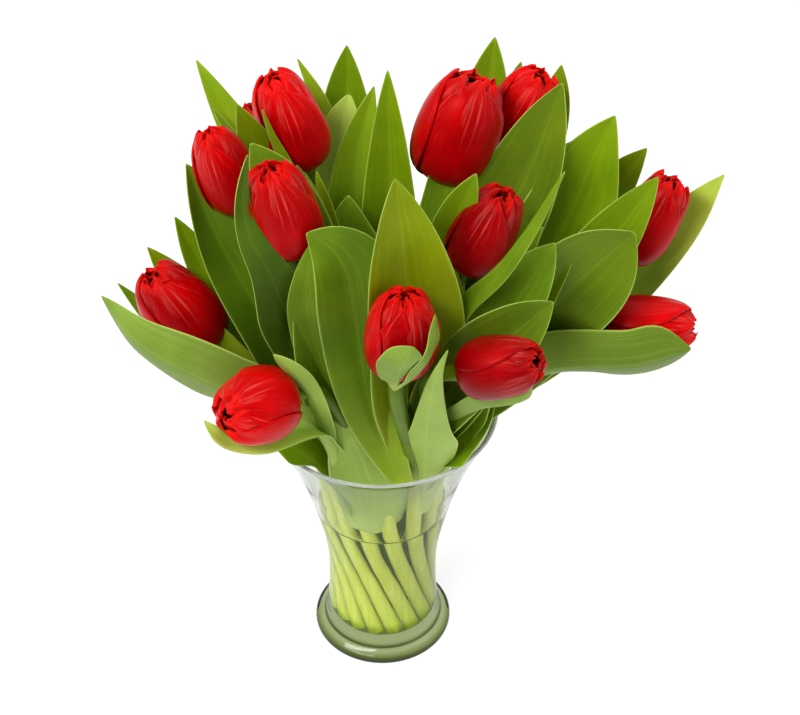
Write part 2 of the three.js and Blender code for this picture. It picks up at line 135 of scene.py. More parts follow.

# ---- the leaves ---------------------------------------------------------------------------
# midrib: points up the middle; width: the widest; facing: azimuth and elevation that the inner
# side looks to; fold: the angle of each half over the midrib; belly: where it is widest;
# point: how long the tip stays broad; base: its width at the base, as a part of the widest;
# left: the left half's width, as a part of the right's; tone and back: the greens of its inner
# and outer side, lighter or darker copies of the leaf's green that paint light and shade on it;
# solid: it stands for a solid of the frame
Leaf = namedtuple(
    "Leaf",
    "name width facing midrib fold belly point base left tone back solid",
    defaults=(20, 0.5, 1.8, 0.3, 1, "mid", "waxy", False),
)
LEAVES = [
    Leaf("low_left_outer", 46, (95, 12),
         [(-28, -30, 180), (-48, -62, 238), (-94, -84, 285), (-136, -78, 310), (-160, -55, 327)],
         fold=30, belly=0.55, point=2.2, solid=True),
    Leaf("behind_left_low", 38, (300, 40),
         [(-41, -10, 176), (-91, -22, 259), (-119, -8, 295), (-139, 0, 321)],
         point=2, tone="yellow", solid=True),
    Leaf("left_broad", 58, (300, 18),
         [(-41, -7, 176), (-67, -26, 278), (-96, -16, 342), (-112, -6, 386)],
         fold=28, point=2.3, left=0.7, tone="dark", solid=True),
    Leaf("left_middle", 54, (285, 14),
         [(-25, -20, 160), (-38, -34, 285), (-51, -22, 346), (-61, -16, 383), (-73, -12, 404)],
         fold=26, belly=0.58, point=3.2, solid=True),
    Leaf("back_left_tall", 36, (282, 10),
         [(-30, 30, 176), (-63, 62, 311), (-92, 70, 368), (-110, 76, 403)],
         fold=25, tone="light", solid=True),
    Leaf("back_middle", 46, (262, 10),
         [(-7, 31, 160), (-16, 76, 301), (-20, 88, 360), (-20, 102, 399)],
         fold=35, belly=0.58, point=2.8, tone="bright", solid=True),
    Leaf("middle_back_left", 46, (275, 10),
         [(-13, 29, 160), (-14, 30, 304), (-13, 38, 365), (-3, 48, 402)],
         point=1.9, tone="light", solid=True),
    Leaf("middle_back", 44, (262, 10),
         [(18, 38, 176), (8, 18, 313), (6, 24, 378), (5, 36, 422)],
         fold=35, point=1.7, tone="bright", solid=True),
    Leaf("front_folded", 60, (288, 14),
         [(13, -63, 186), (2, -63, 216), (-8, -64, 264), (-14, -67, 319), (-19, -69, 357),
          (-27, -71, 374), (-39, -73, 384)],
         fold=22, belly=0.62, point=4, left=0.8, solid=True),
    Leaf("front_centre", 64, (288, 12),
         [(12, -40, 176), (18, -62, 293), (14, -72, 366), (10, -72, 419)],
         fold=28, point=2.6, tone="yellow", solid=True),
    Leaf("middle_inner", 40, (262, 10),
         [(32, 4, 160), (34, 4, 301), (40, 14, 360), (42, 28, 406)],
         fold=25, solid=True),
    Leaf("right_tall", 60, (244, 10),
         [(32, 3, 160), (60, 6, 299), (88, 16, 365), (106, 30, 417)],
         fold=32, belly=0.58, point=2.6, tone="olive", solid=True),
    Leaf("back_right_tall", 46, (258, 10),
         [(26, 33, 176), (60, 72, 327), (65, 84, 370), (69, 96, 407)],
         fold=35, belly=0.58, point=2.8, tone="bright", solid=True),
    Leaf("right_broad", 64, (255, 14),
         [(32, 0, 160), (91, 4, 288), (116, 12, 347), (126, 16, 379), (136, 19, 401)],
         fold=30, belly=0.58, point=2.8, tone="bright", solid=True),
    Leaf("right_bud", 40, (245, 20),
         [(41, -9, 176), (115, -26, 312), (141, -26, 358), (158, -22, 387)],
         fold=25, belly=0.6, point=2.8, tone="bright", solid=True),
    Leaf("far_right", 50, (225, 45),
         [(32, 3, 160), (150, 12, 279), (183, 16, 323), (207, 26, 354)],
         fold=30, belly=0.55, point=2.2, tone="soft", back="pale", solid=True),
    Leaf("right_front_broad", 60, (262, 20),
         [(35, -16, 176), (85, -38, 282), (116, -48, 335), (144, -50, 369)],
         fold=22, belly=0.7, point=3.6, tone="olive", solid=True),
    Leaf("right_blue", 44, (245, 25),
         [(30, -29, 176), (64, -62, 300), (84, -62, 341), (100, -52, 363)],
         fold=25, belly=0.62, point=3, solid=True),
    Leaf("front_right_high", 44, (262, 38),
         [(24, -34, 185), (36, -66, 254), (55, -80, 297), (78, -90, 331), (97, -90, 351)],
         fold=25, belly=0.65, point=3, tone="olive", solid=True),
    Leaf("front_right_cup", 22, (95, 30),
         [(41, -58, 218), (48, -82, 258), (59, -102, 283), (71, -112, 294), (80, -116, 301),
          (85, -116, 312)],
         fold=35, belly=0.6, point=3, solid=True),
    Leaf("low_right_outer", 48, (90, 12),
         [(34, -24, 180), (72, -46, 246), (97, -60, 275), (122, -68, 285), (150, -70, 288),
          (180, -66, 298)],
         fold=35, belly=0.72, point=8, back="deep", solid=True),
    Leaf("front_pale", 28, (85, -10),
         [(27, -44, 137), (27, -62, 196), (27, -80, 234), (28, -96, 272), (30, -108, 302),
          (33, -118, 326), (38, -122, 344)],
         fold=22, belly=0.46, point=0.62, left=1.45, back="pale", solid=True),
    Leaf("rim_front", 52, (95, -5),
         [(-4, -41, 122), (-4, -55, 171), (-10, -62, 202), (-17, -69, 232), (-25, -71, 256)],
         fold=14, belly=0.4, point=1.7, base=0.75, back="pale", solid=True),
    Leaf("front_left_cup", 28, (280, 68),
         [(-22, -48, 191), (-34, -70, 236), (-48, -93, 260), (-70, -112, 267), (-88, -125, 279),
          (-98, -127, 296)],
         fold=24, point=2.2, tone="pale", solid=True),
    Leaf("rear_middle", 52, (270, 20),
         [(2, 40, 168), (0, 72, 250), (-4, 92, 310), (-6, 104, 352)],
         fold=25, point=1.9, solid=True),
    Leaf("rear_left", 44, (315, 30),
         [(-28, 34, 170), (-62, 76, 240), (-92, 96, 290), (-120, 104, 322)],
         fold=25, point=1.9, solid=True),
    Leaf("rear_right", 44, (225, 30),
         [(30, 34, 170), (66, 74, 240), (98, 96, 292), (126, 108, 328)],
         fold=25, point=1.9, solid=True),
    Leaf("rear_low", 40, (270, 60),
         [(6, 44, 178), (6, 92, 225), (4, 128, 252), (2, 150, 262)],
         fold=25, solid=True),
    Leaf("left_sliver", 24, (300, 50),
         [(-32, -4, 160), (-102, -14, 245), (-135, -5, 265), (-158, 0, 294)]),
    Leaf("left_narrow", 32, (310, 20),
         [(-32, -6, 160), (-81, -15, 269), (-108, -2, 311), (-122, 6, 339)],
         belly=0.55, point=2.4, tone="bright"),
    Leaf("left_yellow", 26, (290, 35),
         [(-38, -16, 178), (-83, -38, 257), (-98, -38, 288), (-106, -34, 300)],
         tone="yellow"),
    Leaf("back_left_small", 18, (285, 10),
         [(-34, 24, 176), (-65, 46, 322), (-87, 52, 362), (-100, 56, 382)]),
    Leaf("thin_by_left_middle", 14, (290, 10),
         [(-32, 4, 160), (-52, 6, 369), (-62, 8, 395), (-67, 10, 412)],
         tone="yellow"),
    Leaf("behind_top_left", 26, (260, 10),
         [(-17, 39, 176), (-27, 62, 319), (-35, 68, 377), (-49, 74, 407)],
         fold=25, tone="light"),
    Leaf("pale_upright", 30, (270, 15),
         [(-20, 37, 176), (-26, 50, 308), (-26, 54, 354), (-18, 62, 391)],
         fold=15, belly=0.6, point=5, tone="pale"),
    Leaf("inner_short", 60, (272, 20),
         [(-15, -27, 160), (-11, -12, 298), (-18, -8, 332), (-18, -2, 360)],
         belly=0.55, point=2.4),
    Leaf("middle_right_cup", 27, (262, 20),
         [(31, -29, 176), (34, -32, 313), (43, -38, 368), (55, -40, 404)],
         belly=0.6, point=4, tone="bright"),
    Leaf("back_thin", 26, (255, 10),
         [(21, 24, 160), (72, 84, 326), (79, 94, 360), (87, 104, 386)],
         belly=0.6, point=3, tone="bright"),
    Leaf("back_right_tip", 28, (262, 10),
         [(32, 27, 176), (97, 80, 329), (107, 90, 363), (111, 100, 386)],
         belly=0.6, point=4, tone="yellow"),
    Leaf("behind_right_broad", 36, (245, 15),
         [(39, 15, 176), (92, 36, 299), (118, 50, 345), (135, 60, 369)],
         belly=0.6, point=3, tone="bright"),
    Leaf("behind_right_high", 38, (235, 25),
         [(30, 11, 160), (121, 46, 284), (146, 54, 328), (164, 60, 351)],
         belly=0.6, point=3, tone="yellow"),
    Leaf("narrow_diagonal", 12, (235, 30),
         [(24, -21, 160), (47, -62, 321), (68, -68, 352), (84, -68, 382), (102, -62, 419)],
         fold=10, point=2.2),
    Leaf("behind_right_blue", 28, (245, 25),
         [(27, -16, 160), (75, -44, 282), (97, -46, 324), (112, -44, 347)],
         belly=0.6, tone="bright"),
    Leaf("inner_diagonal", 34, (245, 30),
         [(32, -27, 176), (49, -42, 284), (70, -44, 327), (94, -40, 366)],
         fold=25),
    Leaf("front_middle_cup", 27, (97, -5),
         [(9, -102, 296), (11, -116, 320), (15, -122, 336), (19, -121, 345)],
         fold=26, belly=0.62, point=3),
    Leaf("front_middle_curl", 14, (140, 0),
         [(10, -101, 296), (20, -110, 313), (28, -115, 331), (31, -114, 346), (29, -110, 358)],
         belly=0.45, point=2),
    Leaf("pale_left_strip", 13, (75, 10),
         [(-27, -52, 179), (-31, -70, 224), (-33, -84, 257), (-38, -94, 284), (-47, -102, 309),
          (-58, -104, 326)],
         fold=22, belly=0.7, point=6, back="pale"),
    Leaf("rim_left", 40, (290, 60),
         [(-20, -34, 138), (-28, -52, 176), (-40, -56, 197), (-54, -56, 211), (-69, -50, 214)],
         fold=8, belly=0.4, point=2, tone="bright"),
    Leaf("rim_right", 30, (230, 45),
         [(24, -28, 150), (38, -38, 190), (52, -44, 216), (70, -52, 244)],
         fold=15, belly=0.45, tone="light"),
    Leaf("rim_right_front", 30, (215, 50),
         [(28, -40, 150), (35, -52, 184), (46, -54, 205), (58, -50, 219), (70, -40, 230)],
         fold=15, point=2, tone="light"),
    Leaf("rim_right_low", 34, (170, 40),
         [(26, -20, 125), (41, -26, 165), (54, -26, 193), (64, -18, 212), (74, -6, 228)],
         belly=0.45, point=2, tone="bright"),
    Leaf("inner_dark", 44, (285, 10),
         [(-20, -34, 173), (-26, -52, 245), (-33, -57, 304), (-41, -58, 359)],
         point=2.4),
    Leaf("left_wrap", 36, (285, 20),
         [(-31, -42, 235), (-39, -47, 263), (-47, -52, 290), (-55, -60, 324), (-62, -70, 359),
          (-70, -70, 378), (-74, -62, 391), (-74, -58, 409), (-71, -56, 428)],
         fold=12, belly=0.45, point=0.75, base=0.6, tone="shadow"),
    Leaf("right_wrap", 26, (262, 20),
         [(-27, -50, 240), (-31, -57, 267), (-37, -62, 298), (-41, -67, 329), (-39, -71, 360),
          (-35, -68, 373), (-31, -62, 378)],
         fold=12, belly=0.45, point=1.6, base=0.5),
    Leaf("middle_sheath", 38, (270, 5),
         [(0, 3, 18), (1, 3, 80), (2, 2, 140), (0, 0, 190)],
         fold=15, point=2.5, tone="bright"),
    Leaf("inner_right", 34, (265, 15),
         [(28, -31, 176), (39, -44, 254), (42, -46, 302), (44, -42, 339)],
         tone="yellow"),
    Leaf("beside_back_left", 34, (290, 10),
         [(-25, 14, 165), (-50, 14, 338), (-72, 12, 386), (-82, 10, 417)],
         belly=0.55, point=3, tone="yellow"),
    Leaf("yellow_inner", 30, (280, 12),
         [(-24, 0, 165), (-33, -8, 287), (-39, -8, 347), (-48, -6, 387)],
         belly=0.55, point=2.2, tone="yellow"),
    Leaf("yellow_between", 20, (280, 10),
         [(-20, -14, 176), (-26, -16, 293), (-29, -14, 333), (-32, -10, 359), (-36, -4, 378)],
         point=2.5, tone="yellow"),
    Leaf("rear_left_low", 38, (330, 35),
         [(-34, 20, 169), (-77, 44, 229), (-101, 50, 265), (-113, 52, 287)],
         fold=25, point=1.9),
]


# ---- making meshes ------------------------------------------------------------------------
def pick(piece):
    """Selects this piece and nothing else."""
    bpy.ops.object.select_all(action="DESELECT")
    piece.select_set(True)
    bpy.context.view_layer.objects.active = piece


def smooth(piece, angle=180):
    """Smooth shading, with edges that bend more than the angle left sharp."""
    pick(piece)
    bpy.ops.object.shade_smooth_by_angle(angle=math.radians(angle))


def shaped_grid(name, across, along, place):
    """A sheet of across by along cells, each corner moved to place(u, v), u -1 to 1, v 0 to 1."""
    bpy.ops.object.select_all(action="DESELECT")
    bpy.ops.mesh.primitive_grid_add(x_subdivisions=across, y_subdivisions=along, size=2)
    sheet = bpy.context.object
    sheet.name = name
    for corner in sheet.data.vertices:
        u, v = corner.co.x, (corner.co.y + 1) / 2
        corner.co = place(u, v) * MM
    return sheet


def give_body(sheet, thickness, outer=0):
    """Makes a sheet a thin rounded blade, whose outer side has its finish number outer."""
    wall = sheet.modifiers.new("thickness", "SOLIDIFY")
    wall.thickness = thickness * MM
    wall.offset = 0
    wall.material_offset = outer
    wall.material_offset_rim = outer
    rounding = sheet.modifiers.new("rounding", "SUBSURF")
    rounding.levels = rounding.render_levels = 1
    pick(sheet)
    for modifier in list(sheet.modifiers):
        bpy.ops.object.modifier_apply(modifier=modifier.name)
    smooth(sheet)


def finish_piece(piece, slot, *nodes):
    """Every piece stands with the vase and stands for its nodes; slot is not used."""
    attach(piece, "root")
    if nodes:
        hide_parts(*nodes)


# ---- smooth curves through points ------------------------------------------------------------
def smooth_points(points, steps=24):
    """Points along a smooth curve through the given ones, evenly weighted by root distance."""
    p = [Vector(q) for q in points]
    p = [2 * p[0] - p[1], *p, 2 * p[-1] - p[-2]]
    line = [p[1]]
    for a, b, c, d in zip(p, p[1:], p[2:], p[3:]):
        da, db, dc = ((x - y).length ** 0.5 for x, y in ((a, b), (b, c), (c, d)))
        start = ((b - a) / da - (c - a) / (da + db) + (c - b) / db) * db
        end = ((c - b) / db - (d - b) / (db + dc) + (d - c) / dc) * db
        for i in range(1, steps + 1):
            t = i / steps
            line.append(
                b * (2 * t ** 3 - 3 * t * t + 1) + start * (t ** 3 - 2 * t * t + t)
                + c * (3 * t * t - 2 * t ** 3) + end * (t ** 3 - t * t)
            )
    return line


class Midline:
    """A smooth curve that gives its point and direction at a share t of its length."""

    def __init__(self, points):
        self.line = smooth_points(points)
        self.reach = [0]
        for a, b in zip(self.line, self.line[1:]):
            self.reach.append(self.reach[-1] + (b - a).length)

    def at(self, t):
        goal = min(max(t, 0), 1) * self.reach[-1]
        i = 0
        while i < len(self.line) - 2 and self.reach[i + 1] < goal:
            i += 1
        a, b = self.line[i], self.line[i + 1]
        part = (goal - self.reach[i]) / (self.reach[i + 1] - self.reach[i])
        return a.lerp(b, part), (b - a).normalized()


def smoothstep(low, high, x):
    t = min(max((x - low) / (high - low), 0), 1)
    return t * t * (3 - 2 * t)


# ---- leaves -------------------------------------------------------------------------------
LEAF_THICK = 0.9
LEAF_LEAST = 0.3  # half the width that is left at its tip
LEAF_ACROSS = 12
LEAF_ALONG = 26
LEAF_WAVE = 1.2  # how far its edges ripple
LEAF_RIPPLES = (1.6, 2.6)  # how many ripples there are up an edge
TIP_CURL = (-3, 5)  # how far the tip bends back or forward
FOLD_OPENS = 0.25  # the part of the fold that is gone at the tip
FOOT_FOLDS = 0.9  # how much more it folds at its foot
PRESS_GAP = 2.2  # between the glass and the middle of a leaf that lies against it
OVER_RIM = 2  # how much further out it may be for each mm above the rim


def half_width(t, belly, point, base):
    """Half a leaf's width at a share t of its length, where 0.5 is the widest."""
    rise = base + (1 - base) * math.sin(math.pi / 2 * min(t / belly, 1)) ** 1.3
    fall = max(1 - max((t - belly) / (1 - belly), 0) ** point, 0) ** 0.9
    return 0.5 * rise * fall


def pressed_in(spot):
    """A leaf spreads no wider than the inside of the vase, up to the rim."""
    reach = math.hypot(spot.x, spot.y)
    room = RIM_RADIUS - WALL - PRESS_GAP + OVER_RIM * max(spot.z - VASE_HEIGHT - PRESS_GAP, 0)
    for (ra, za), (rb, zb) in zip(OUTLINE, OUTLINE[1:]):
        if za <= spot.z < zb:
            room = ra + (rb - ra) * (spot.z - za) / (zb - za) - WALL - PRESS_GAP
    if reach <= room:
        return spot
    return Vector((spot.x * room / reach, spot.y * room / reach, spot.z))


def leaf_shape(leaf, chance):
    """The surface of a leaf: folded along its midrib, wavy at its edges, its tip a little bent."""
    middle = Midline(leaf.midrib)
    azimuth, elevation = (math.radians(a) for a in leaf.facing)
    face = Vector((
        math.cos(azimuth) * math.cos(elevation),
        math.sin(azimuth) * math.cos(elevation),
        math.sin(elevation),
    ))
    fold = math.radians(leaf.fold)
    wave = LEAF_WAVE * chance.uniform(0.7, 1.3)
    ripples = chance.uniform(*LEAF_RIPPLES)
    start = (chance.uniform(0, WHOLE_TURN), chance.uniform(0, WHOLE_TURN))
    curl = chance.uniform(*TIP_CURL)

    def place(u, v):
        return pressed_in(free_place(u, v))

    def free_place(u, v):
        point, along = middle.at(v)
        normal = (face - face.dot(along) * along).normalized()
        side = along.cross(normal)
        half = leaf.width * half_width(v, leaf.belly, leaf.point, leaf.base) + LEAF_LEAST
        half *= leaf.left if u < 0 else 1
        rise = fold * (1 - FOLD_OPENS * v + FOOT_FOLDS * (1 - smoothstep(0, 0.35, v)))
        reach = abs(u)
        ripple = wave * reach ** 2 * math.sin(2 * math.pi * ripples * v + start[u > 0])
        ripple *= smoothstep(0, 0.3, v) * smoothstep(1.02, 0.8, v)
        lift = half * reach ** 1.35 * math.sin(rise) + ripple
        tip = curl * smoothstep(0.78, 1, v) ** 2
        return point + side * (math.copysign(reach, u) * half * math.cos(rise)) + normal * (lift + tip)

    return place


def add_leaf(leaf, number):
    """A thin blade, with one green inside and a duller one outside."""
    chance = random.Random(number)
    blade = shaped_grid("blade_" + leaf.name, LEAF_ACROSS, LEAF_ALONG, leaf_shape(leaf, chance))
    blade.data.materials.append(leaf_inner[leaf.tone])
    blade.data.materials.append(leaf_outer[leaf.back])
    give_body(blade, LEAF_THICK, outer=1)
    finish_piece(blade, "leaf", *(["leaf_" + leaf.name] if leaf.solid else []))


# ---- flower heads ---------------------------------------------------------------------------
# the closed head's outline, as a petal follows it up: share of the way, radius, height
HEAD_LINE = [
    (0, 0.15, 0), (0.08, 0.5, 0.02), (0.18, 0.78, 0.09), (0.3, 0.94, 0.21), (0.42, 1, 0.35),
    (0.54, 0.98, 0.5), (0.65, 0.92, 0.64), (0.75, 0.81, 0.77), (0.84, 0.65, 0.88),
    (0.92, 0.44, 0.95), (1, 0.16, 1),
]
# the outer petals, the inner ones and those in the heart: half the angle that one covers, how
# far up the head it reaches, its radius as a part of the head's, and how square its tip is
WHORLS = [(76, (0.9, 0.99), 1.02, 5), (70, (0.93, 0.99), 0.93, 7), (84, (0.94, 0.98), 0.74, 30)]
HEART = 2
PETALS = 9
PETAL_THICK = 0.7
PETAL_ACROSS = 12
PETAL_ALONG = 14
CREASE_DEPTH = (0.015, 0.045)  # as a part of the head's radius, and so are the next four
CREASE_WIDTH = 0.12
RUFFLE = (0.02, 0.05)
OVERLAP = 0.045  # one side of a petal lies over its neighbour, and the other under it
BUCKLE = 0.02
HEAD_SEED = 100


def head_line(v):
    """Radius and height of the closed head's outline at a share v of the way up it."""
    i = max(k for k in range(len(HEAD_LINE) - 1) if HEAD_LINE[k][0] <= max(v, 0))
    t = (v - HEAD_LINE[i][0]) / (HEAD_LINE[i + 1][0] - HEAD_LINE[i][0])
    before, a, b, after = (
        Vector((*HEAD_LINE[min(max(k, 0), len(HEAD_LINE) - 1)][1:], 0)) for k in range(i - 1, i + 3)
    )
    spot = (a * (2 * t ** 3 - 3 * t * t + 1) + b * (3 * t * t - 2 * t ** 3)
            + (b - before) * 0.5 * (t ** 3 - 2 * t * t + t) + (after - a) * 0.5 * (t ** 3 - t * t))
    return spot.x, spot.y


def petal_shape(flower, number, chance):
    """One cupped petal, of three outer ones, three between them and three in the heart."""
    base, tip = Vector(flower.base), Vector(flower.tip)
    length = (tip - base).length
    turn = UP.rotation_difference(tip - base)
    whorl = number // 3
    centre = math.radians(120 * number + 60 * whorl + flower.turn + chance.uniform(-6, 6))
    spread, reaches, size, square = WHORLS[whorl]
    reach = chance.uniform(*reaches)
    fall = flower.opened * chance.uniform(0.3, 1)
    creases = [(chance.uniform(-0.6, 0.6), chance.uniform(*CREASE_DEPTH)) for _ in range(2)]
    starts = [chance.uniform(0, WHOLE_TURN) for _ in range(4)]
    ruffle = chance.uniform(*RUFFLE)

    def place(u, v):
        v = 1 - (1 - v) ** 1.4  # the rows are closer together towards the tip
        # as wide as its neighbours leave room for, narrow at the foot and rounded at the tip
        widen = 0.55 + 0.45 * math.sin(math.pi / 2 * min(v / 0.45, 1))
        taper = max(1 - v ** square, 0) ** 0.55
        angle = centre + u * math.radians(spread) * widen * (0.03 + 0.97 * taper)
        # the tip opens outwards, and in the heart it folds in
        radius, height = head_line(v * reach)
        top = smoothstep(0.5, 1, v)
        radius -= 0.12 * smoothstep(0.75, 1, v) if whorl == HEART else 0
        radius = radius * size + 0.6 * fall * top ** 1.5
        height -= 0.12 * fall * top + 0.01 * (whorl == HEART)
        radius += OVERLAP * u * smoothstep(0, 0.2, v)
        for middle, depth in creases:
            ridge = math.exp(-(((u - middle) / CREASE_WIDTH) ** 2))
            radius -= depth * ridge * smoothstep(0.1, 0.5, v)
        # the edge is ruffled, and the whole petal buckles a little
        edge = smoothstep(0.6, 1, max(v, abs(u) * smoothstep(0.3, 0.8, v)))
        frill = math.sin(5 * u + starts[0]) + 0.6 * math.sin(12 * u + 3 * v + starts[1])
        radius += ruffle * edge * frill
        height += 0.5 * ruffle * edge * math.cos(7 * u + starts[2])
        radius += BUCKLE * math.sin(6 * v + 3 * u + starts[3]) * smoothstep(0.1, 0.4, v)
        height -= 0.05 * u * u * top  # its corners are lower than its tip
        radius = max(radius, 0.03) * flower.radius
        spot = Vector((radius * math.cos(angle), radius * math.sin(angle), height * length))
        return base + turn @ spot

    return place


def add_head(flower, number):
    """A closed head of separate petals, joined as one piece."""
    chance = random.Random(HEAD_SEED + number)
    petals = [
        shaped_grid("petal", PETAL_ACROSS, PETAL_ALONG, petal_shape(flower, k, chance))
        for k in range(PETALS)
    ]
    pick(petals[0])
    for petal in petals:
        petal.select_set(True)
    bpy.ops.object.join()
    head = bpy.context.object
    head.name = "petals_" + flower.name
    head.data.materials.append(petal_reds[flower.shade])
    give_body(head, PETAL_THICK)
    finish_piece(head, "petal", "tulip_" + flower.name)


# ---- stems ----------------------------------------------------------------------------------
def polar(radius, azimuth, z):
    """The point at a radius, an azimuth in degrees and a height."""
    a = math.radians(azimuth)
    return Vector((radius * math.cos(a), radius * math.sin(a), z))


def stem_route(flower, slot):
    """From the cut end round the inside of the glass, past the rim and up to the head."""
    base = Vector(flower.base)
    axis = (Vector(flower.tip) - base).normalized()
    top = 360 / len(FLOWERS) * slot + RING_TURN
    turn = (math.degrees(math.atan2(base.y, base.x)) - top + 540) % 360 - 180
    out = min(NECK_RADIUS + NECK_SPREAD * math.hypot(base.x, base.y), NECK_WIDEST)
    neck = Vector(flower.neck) if flower.neck else polar(out, top + turn / 2, NECK)
    foot = polar(RING_FOOT, top + RING_TWIST, INNER_FLOOR + STEM_LIFT)
    leave = polar(RING_WIDE, top, RING_TOP)
    return [
        foot,
        foot.lerp(leave, 0.5),
        leave,
        neck,
        base - STRAIGHT_NECK * axis,
        base - GAP * axis,
    ]


def add_stem(flower, slot):
    """One round stalk, a little uneven in thickness."""
    line = smooth_points(stem_route(flower, slot), 8)
    data = bpy.data.curves.new("stem_" + flower.name + "_line", "CURVE")
    data.dimensions = "3D"
    path = data.splines.new("POLY")
    path.points.add(len(line) - 1)
    chance = random.Random(STEM_SEED + slot)
    for spot, point in zip(line, path.points):
        point.co = (*(spot * MM), 1)
        point.radius = 1 + STEM_UNEVEN * chance.uniform(-1, 1)
    path.points[0].radius = STEM_FOOT_SWELL
    data.bevel_depth = STEM_RADIUS * MM
    data.bevel_resolution = 5
    data.use_fill_caps = True
    stem = bpy.data.objects.new("stalk_" + flower.name, data)
    bpy.context.scene.collection.objects.link(stem)
    pick(stem)
    bpy.ops.object.convert(target="MESH")
    stem.data.materials.append(stem_green)
    smooth(stem, STEM_CREASE)
    finish_piece(stem, "stem", "stem_" + flower.name)


# ---- vase and water ---------------------------------------------------------------------------
def wall_line(inset, low, high, steps):
    """Points up the wall's outline, set in by inset, between two heights."""
    line = smooth_points([(r, 0, z) for r, z in OUTLINE], 40)
    heights = [low + (high - low) * i / steps for i in range(steps + 1)]
    points = []
    for z in heights:
        nearest = min(line, key=lambda p: abs(p.z - z))
        points.append((nearest.x - inset, z))
    return points


def arc(centre, radius, first, last, steps):
    """Points on an arc of the outline, from one angle to another."""
    angles = [math.radians(first + (last - first) * i / steps) for i in range(steps + 1)]
    return [(centre[0] + radius * math.cos(a), centre[1] + radius * math.sin(a)) for a in angles]


def turned(name, outline):
    """A body turned from its outline, a list of radius and height."""
    bpy.ops.object.select_all(action="DESELECT")
    bpy.ops.mesh.primitive_circle_add(vertices=len(outline), radius=1)
    body = bpy.context.object
    body.name = name
    for corner, (radius, z) in zip(body.data.vertices, outline):
        corner.co = (radius * MM, 0, z * MM)
    bpy.ops.object.mode_set(mode="EDIT")
    bpy.ops.mesh.select_all(action="DESELECT")
    bpy.ops.mesh.select_mode(type="EDGE")
    bpy.ops.object.mode_set(mode="OBJECT")
    for edge in body.data.edges:  # the closing edge lies on the axis and isn't turned
        ends = [body.data.vertices[i].co.x for i in edge.vertices]
        edge.select = max(ends) < TOUCHING
    bpy.ops.object.mode_set(mode="EDIT")
    bpy.ops.mesh.delete(type="EDGE_FACE")
    bpy.ops.mesh.select_all(action="SELECT")
    bpy.ops.mesh.spin(steps=SPIN_STEPS, angle=2 * math.pi, center=(0, 0, 0), axis=(0, 0, 1))
    bpy.ops.mesh.select_all(action="SELECT")
    bpy.ops.mesh.remove_doubles(threshold=TOUCHING)
    bpy.ops.mesh.normals_make_consistent(inside=False)
    bpy.ops.object.mode_set(mode="OBJECT")
    return body


def add_vase():
    """Foot, wall and lip turned in one, with a finish for each kind of glass; the lip's and the foot's
    paint light and shade.
    """
    foot = arc((FOOT_RADIUS - FOOT_EDGE, FOOT_EDGE), FOOT_EDGE, -90, 62, 10)
    outer = wall_line(0, INNER_FLOOR, LIP_LEVEL, 40)
    lip = arc((RIM_RADIUS - WALL / 2 - LIP_INSET, LIP_LEVEL), WALL / 2, 10, 170, 6)
    inner = wall_line(WALL, INNER_FLOOR + INNER_CORNER, LIP_LEVEL, 38)[::-1]
    corner = arc((inner[-1][0] - INNER_CORNER, inner[-1][1]), INNER_CORNER, -10, -90, 8)
    body = turned("glass_vase", [
        (0, 0), *foot, *FOOT_NECK, *outer, *lip, *inner, *corner, (0, INNER_FLOOR),
    ])
    for glass in (clear_glass, bright_rim, thick_glass, underside_glass):
        body.data.materials.append(glass)
    for face in body.data.polygons:
        on_lip = face.center.z > LIP_LEVEL * MM
        in_foot = face.center.z < THICK_GLASS_TOP * MM
        underneath = face.center.z < UNDERSIDE_TOP * MM
        face.material_index = 1 if on_lip else 2 * in_foot + underneath
    smooth(body, GLASS_CREASE)
    finish_piece(body, "glass", "vase")


def add_water():
    """The fill, which climbs a little where it meets the glass."""
    side = wall_line(WALL - WATER_CREEP, INNER_FLOOR + INNER_CORNER, WATER_LEVEL, 24)
    corner = arc((side[0][0] - INNER_CORNER, side[0][1]), INNER_CORNER, -90, -10, 8)
    body = turned("water_fill", [
        (0, INNER_FLOOR - WATER_CREEP), *corner, *side,
        *((side[-1][0] - inward, WATER_LEVEL - drop) for inward, drop in MENISCUS),
        (0, WATER_LEVEL - MENISCUS[-1][1]),
    ])
    body.data.materials.append(clear_water)
    smooth(body, GLASS_CREASE)
    finish_piece(body, "water", "water")


# ---- materials --------------------------------------------------------------------------------
def new_material(name):
    """A new material with its nodes, its links and the shader that they lead to."""
    material = bpy.data.materials.new(name)
    material.use_nodes = True
    nodes = material.node_tree.nodes
    return material, nodes, material.node_tree.links, nodes["Principled BSDF"]


def ramp(nodes, links, factor, stops):
    """A colour ramp on a value: stops are (place, grey or colour)."""
    node = nodes.new("ShaderNodeValToRGB")
    elements = node.color_ramp.elements
    while len(elements) < len(stops):
        elements.new(0.5)
    for element, (place, colour) in zip(elements, stops):
        element.position = place
        element.color = (*colour, 1) if isinstance(colour, tuple) else (colour, colour, colour, 1)
    links.new(factor, node.inputs["Fac"])
    return node.outputs["Color"]


def mixed(nodes, links, factor, first, second):
    """Two colours mixed by a value; each is a socket or a colour."""
    node = nodes.new("ShaderNodeMix")
    node.data_type = "RGBA"
    for socket, value in (("Factor", factor), ("A", first), ("B", second)):
        slot = [s for s in node.inputs if s.name == socket and s.enabled][0]
        if isinstance(value, bpy.types.NodeSocket):
            links.new(value, slot)
        else:
            slot.default_value = value if socket == "Factor" else (*value, 1)
    return [s for s in node.outputs if s.enabled][0]


def math_node(nodes, links, operation, first, second=0.0):
    """One step of arithmetic; each value is a socket or a number."""
    node = nodes.new("ShaderNodeMath")
    node.operation = operation
    for slot, value in zip(node.inputs, (first, second)):
        if isinstance(value, bpy.types.NodeSocket):
            links.new(value, slot)
        else:
            slot.default_value = value
    return node.outputs[0]


